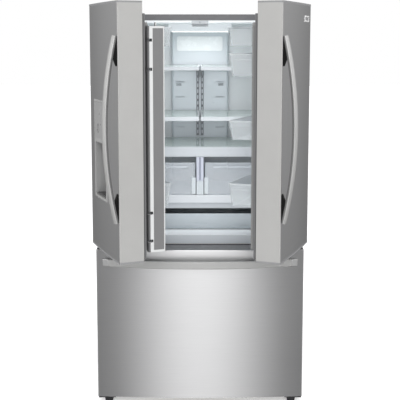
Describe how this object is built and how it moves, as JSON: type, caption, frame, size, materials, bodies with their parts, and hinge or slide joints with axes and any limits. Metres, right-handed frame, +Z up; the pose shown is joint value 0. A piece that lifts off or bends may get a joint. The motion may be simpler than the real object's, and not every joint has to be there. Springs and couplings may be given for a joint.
{
  "type": "french door refrigerator",
  "caption": "Tall refrigerator with paired upper doors standing open, bowed bar handles, a water dispenser, glass shelves, crispers and a bottom freezer drawer.",
  "frame": {"origin": "floor level, under the middle of the whole object's box as it stands with its doors open", "axes": "+Z up, +X to the right for someone facing the doors, +Y from the doors towards the back of the cabinet"},
  "size_m": [0.9492, 1.2143, 1.7655],
  "materials": {
    "stainless": "vertically brushed stainless sheet",
    "stainless_cap": "satin grey plastic",
    "case_paint": "fine textured grey paint",
    "white_frame": "smooth white paint",
    "galvanised": "plain zinc coated sheet",
    "white_liner": "satin white moulded plastic",
    "foam": "cellular insulation",
    "handle_metal": "satin stainless bar",
    "gasket_grey": "matt grey seal",
    "dark_plastic": "matt black plastic",
    "black_steel": "matt black paint",
    "rail_steel": "zinc plated steel",
    "shelf_trim": "pale grey plastic trim",
    "clear_bin": "clear moulded plastic",
    "shelf_glass": "clear tempered glass",
    "smoky_bin": "lightly tinted clear plastic",
    "lens": "frosted lamp cover",
    "control_face": "satin grey control face",
    "dispenser_grey": "satin light grey plastic",
    "aluminium_fins": "bare aluminium",
    "mullion_face": "smooth grey paint",
    "basket_plastic": "satin white plastic"
  },
  "bodies": {
    "cabinet": {"outer_case": "case_paint", "rear_panel": "galvanised", "insulation_foam": "foam", "fresh_food_liner": "white_liner", "freezer_liner": "white_liner", "front_frame": "white_frame", "base_frame": "black_steel", "levelling_feet": "dark_plastic", "compressor": "black_steel", "condenser_coil": "black_steel", "fan_bracket": "galvanised", "machine_cover": "galvanised", "evaporator": "aluminium_fins", "evaporator_cover": "white_liner", "air_tower": "white_liner", "light_housing": "white_liner", "light_lens": "lens", "mullion_guide": "shelf_trim", "top_hinges": "rail_steel", "hinge_covers": "dark_plastic", "centre_hinges": "black_steel", "shelf_tracks": "rail_steel", "upper_shelves": "shelf_trim", "middle_shelves": "shelf_trim", "shelf_glass": "shelf_glass", "crisper_cover": "shelf_trim", "crisper_frame": "shelf_trim", "freezer_fixed_rails": "rail_steel"},
    "fan_rotor": {"condenser_fan": "dark_plastic"},
    "rollers": {"rear_rollers": "dark_plastic"},
    "crisper_left_drawer": {"crisper_left": "clear_bin"},
    "crisper_right_drawer": {"crisper_right": "clear_bin"},
    "deli_pan": {"deli_drawer": "smoky_bin"},
    "left_door": {"left_door_skin": "stainless", "left_door_liner": "white_liner", "left_door_gasket": "gasket_grey", "left_door_end_caps": "stainless_cap", "left_door_handle": "handle_metal", "left_door_bins": "clear_bin", "dispenser_housing": "dispenser_grey", "dispenser_panel": "control_face", "drip_tray": "dark_plastic"},
    "paddle": {"dispenser_paddle": "dark_plastic"},
    "mullion": {"mullion_bar": "white_liner", "mullion_plate": "mullion_face"},
    "right_door": {"right_door_skin": "stainless", "right_door_liner": "white_liner", "right_door_gasket": "gasket_grey", "right_door_end_caps": "stainless_cap", "right_door_handle": "handle_metal", "right_door_bins": "clear_bin"},
    "dairy_box_lid": {"dairy_lid": "clear_bin"},
    "freezer_drawer": {"freezer_front_skin": "stainless", "freezer_front_liner": "white_liner", "freezer_gasket": "gasket_grey", "freezer_handle": "handle_metal", "freezer_inner_rails": "rail_steel", "freezer_basket": "basket_plastic"},
    "middle_rails": {"freezer_middle_rails": "rail_steel"},
    "upper_basket": {"freezer_upper_basket": "basket_plastic"}
  },
  "joints": [
    {"name": "left_door_hinge", "type": "hinge", "parent": "cabinet", "child": "left_door", "pos_m": [-0.4276, -0.1744, 1.2], "axis": [0, 0, -1], "range_deg": [-67.5, 50]},
    {"name": "right_door_hinge", "type": "hinge", "parent": "cabinet", "child": "right_door", "pos_m": [0.4276, -0.1744, 1.2], "axis": [0, 0, 1], "range_deg": [-67.5, 50]},
    {"name": "mullion_pivot", "type": "hinge", "parent": "left_door", "child": "mullion", "pos_m": [-0.20433, -0.51379, 1.217], "axis": [0, 0, 1], "range_deg": [-90, 0]},
    {"name": "crisper_left_slide", "type": "slide", "parent": "cabinet", "child": "crisper_left_drawer", "axis": [0, -1, 0], "range_m": [0, 0.13]},
    {"name": "crisper_right_slide", "type": "slide", "parent": "cabinet", "child": "crisper_right_drawer", "axis": [0, -1, 0], "range_m": [0, 0.13]},
    {"name": "deli_slide", "type": "slide", "parent": "cabinet", "child": "deli_pan", "axis": [0, -1, 0], "range_m": [0, 0.13]},
    {"name": "freezer_drawer_slide", "type": "slide", "parent": "cabinet", "child": "freezer_drawer", "axis": [0, -1, 0], "range_m": [0, 0.42]},
    {"name": "middle_rail_slide", "type": "slide", "parent": "cabinet", "child": "middle_rails", "axis": [0, -1, 0], "range_m": [0, 0.21]},
    {"name": "upper_basket_slide", "type": "slide", "parent": "freezer_drawer", "child": "upper_basket", "axis": [0, 1, 0], "range_m": [0, 0.11]},
    {"name": "condenser_fan_spin", "type": "hinge", "parent": "cabinet", "child": "fan_rotor", "pos_m": [-0.101, 0.491, 0.15], "axis": [1, 0, 0], "continuous": true},
    {"name": "rear_roller_spin", "type": "hinge", "parent": "cabinet", "child": "rollers", "pos_m": [0, 0.558, 0.02], "axis": [1, 0, 0], "continuous": true},
    {"name": "paddle_press", "type": "hinge", "parent": "left_door", "child": "paddle", "pos_m": [-0.37714, -0.32235, 1.166], "axis": [0.3827, -0.9239, 0], "range_deg": [0, 9], "stiffness_Nm_per_rad": 0.3},
    {"name": "dairy_lid_hinge", "type": "hinge", "parent": "right_door", "child": "dairy_box_lid", "pos_m": [0.27008, -0.32996, 1.662], "axis": [0.3827, 0.9239, 0], "range_deg": [0, 80]}
  ],
  "couplings": [
    {"joint": "middle_rail_slide", "follows": "freezer_drawer_slide", "ratio": 0.5}
  ]
}
